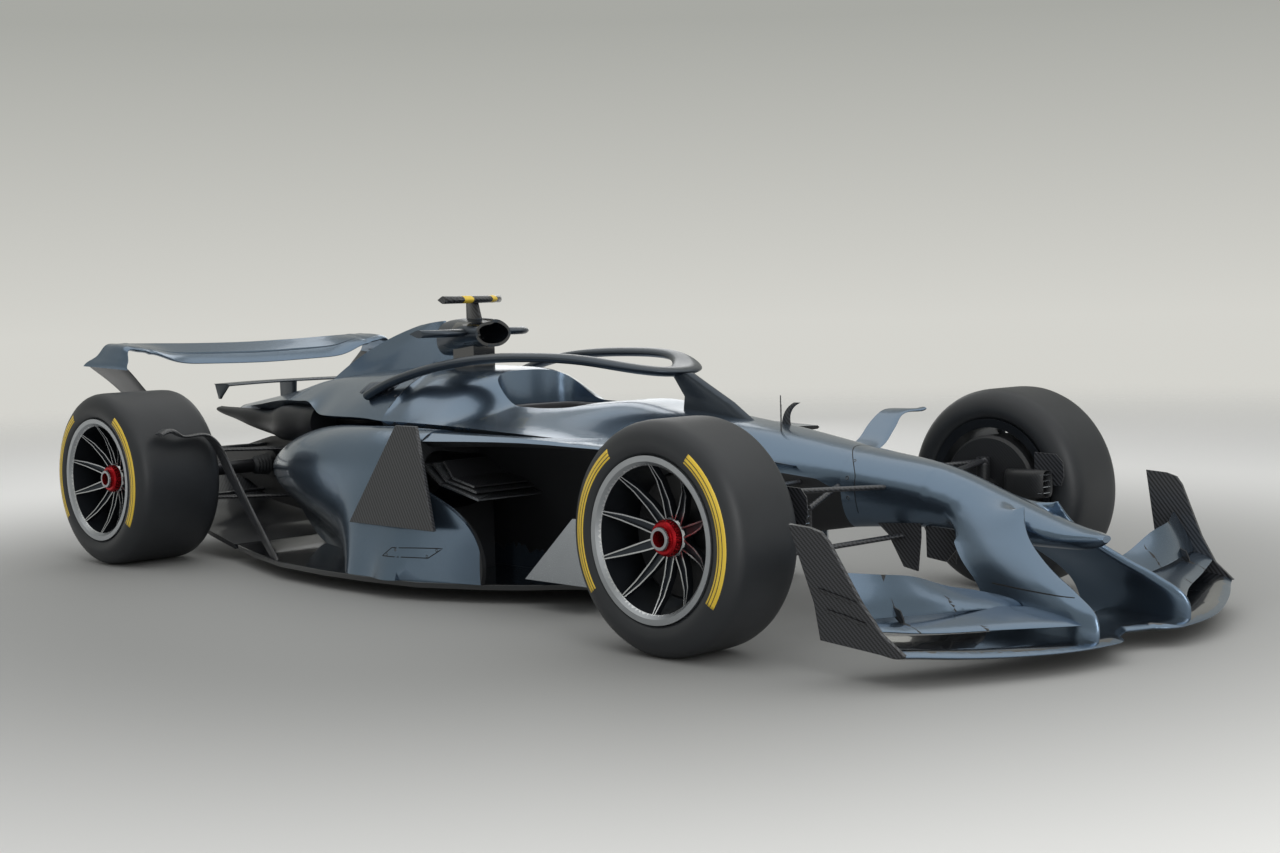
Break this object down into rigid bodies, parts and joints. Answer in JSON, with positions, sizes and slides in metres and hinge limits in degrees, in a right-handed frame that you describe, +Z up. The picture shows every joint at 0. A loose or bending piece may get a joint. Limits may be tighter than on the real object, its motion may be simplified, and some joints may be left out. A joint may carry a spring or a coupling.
{
  "type": "open wheel racing car",
  "caption": "Single-seat open wheel racing car with exposed steered front wheels, cockpit guard hoop, sculpted sidepods and full-width wings.",
  "frame": {"origin": "on the ground under the middle of the car's length and width", "axes": "+X forwards along the car, +Y to the car's left, +Z up"},
  "size_m": [5.052, 2, 1.0935],
  "materials": {
    "body_paint": "satin metallic blue-grey",
    "satin_paint": "satin grey",
    "carbon": "twill carbon under lacquer",
    "tyre_rubber": "slick rubber",
    "wheel_alloy": "dark satin with a bright flange",
    "red_alloy": "anodised red",
    "dark_metal": "satin",
    "bright_trim": "satin",
    "padding": "matt",
    "matt_grip": "matt"
  },
  "bodies": {
    "chassis": {"airbox": "body_paint", "antennas": "carbon", "beam_wing": "body_paint", "cameras": "carbon", "deflectors": "bright_trim", "diffuser": "carbon", "engine_block": "dark_metal", "engine_cover": "body_paint", "floor": "carbon", "front_suspension": "carbon", "front_wing_endplates": "carbon", "front_wing_flaps": "body_paint", "front_wing_main": "body_paint", "gearbox_case": "dark_metal", "halo": "satin_paint", "headrest": "padding", "inlet_vanes": "bright_trim", "nose_cone": "body_paint", "over_wheel_fins": "body_paint", "rear_hub_carriers": "carbon", "rear_strut_blades": "carbon", "rear_suspension": "carbon", "rear_wing": "body_paint", "rear_wing_supports": "carbon", "seat": "padding", "side_panels": "carbon", "sidepod_left": "body_paint", "sidepod_right": "body_paint", "survival_cell": "body_paint", "tail_ducts": "carbon", "turning_vanes": "carbon"},
    "rear_wheel_left": {"driveshaft_left": "dark_metal", "rear_rim_left": "wheel_alloy", "rear_tyre_left": "tyre_rubber", "rear_wheel_nut_left": "red_alloy"},
    "rear_wheel_right": {"driveshaft_right": "dark_metal", "rear_rim_right": "wheel_alloy", "rear_tyre_right": "tyre_rubber", "rear_wheel_nut_right": "red_alloy"},
    "knuckle_left": {"front_knuckle_left": "carbon"},
    "knuckle_right": {"front_knuckle_right": "carbon"},
    "front_wheel_left": {"front_rim_left": "wheel_alloy", "front_tyre_left": "tyre_rubber", "front_wheel_nut_left": "red_alloy"},
    "front_wheel_right": {"front_rim_right": "wheel_alloy", "front_tyre_right": "tyre_rubber", "front_wheel_nut_right": "red_alloy"},
    "steering_wheel": {"steering_wheel": "matt_grip"}
  },
  "joints": [
    {"name": "steer_right", "type": "hinge", "parent": "chassis", "child": "knuckle_right", "pos_m": [1.432, -0.668, 0.36], "axis": [0, 0, 1], "range_deg": [-18, 18]},
    {"name": "steer_left", "type": "hinge", "parent": "chassis", "child": "knuckle_left", "pos_m": [1.432, 0.668, 0.36], "axis": [0, 0, 1], "range_deg": [-18, 18]},
    {"name": "spin_front_right", "type": "hinge", "parent": "knuckle_right", "child": "front_wheel_right", "pos_m": [1.432, -0.8475, 0.36], "axis": [0, 1, 0], "continuous": true},
    {"name": "spin_rear_right", "type": "hinge", "parent": "chassis", "child": "rear_wheel_right", "pos_m": [-1.884, -0.7975, 0.36], "axis": [0, 1, 0], "continuous": true},
    {"name": "spin_front_left", "type": "hinge", "parent": "knuckle_left", "child": "front_wheel_left", "pos_m": [1.432, 0.8475, 0.36], "axis": [0, 1, 0], "continuous": true},
    {"name": "spin_rear_left", "type": "hinge", "parent": "chassis", "child": "rear_wheel_left", "pos_m": [-1.884, 0.7975, 0.36], "axis": [0, 1, 0], "continuous": true},
    {"name": "steering_wheel_turn", "type": "hinge", "parent": "chassis", "child": "steering_wheel", "pos_m": [0.204, 0, 0.565], "axis": [-1, 0, 0], "range_deg": [-180, 180]}
  ],
  "couplings": [
    {"joint": "steer_left", "follows": "steer_right", "ratio": 1},
    {"joint": "steering_wheel_turn", "follows": "steer_right", "ratio": 10}
  ]
}
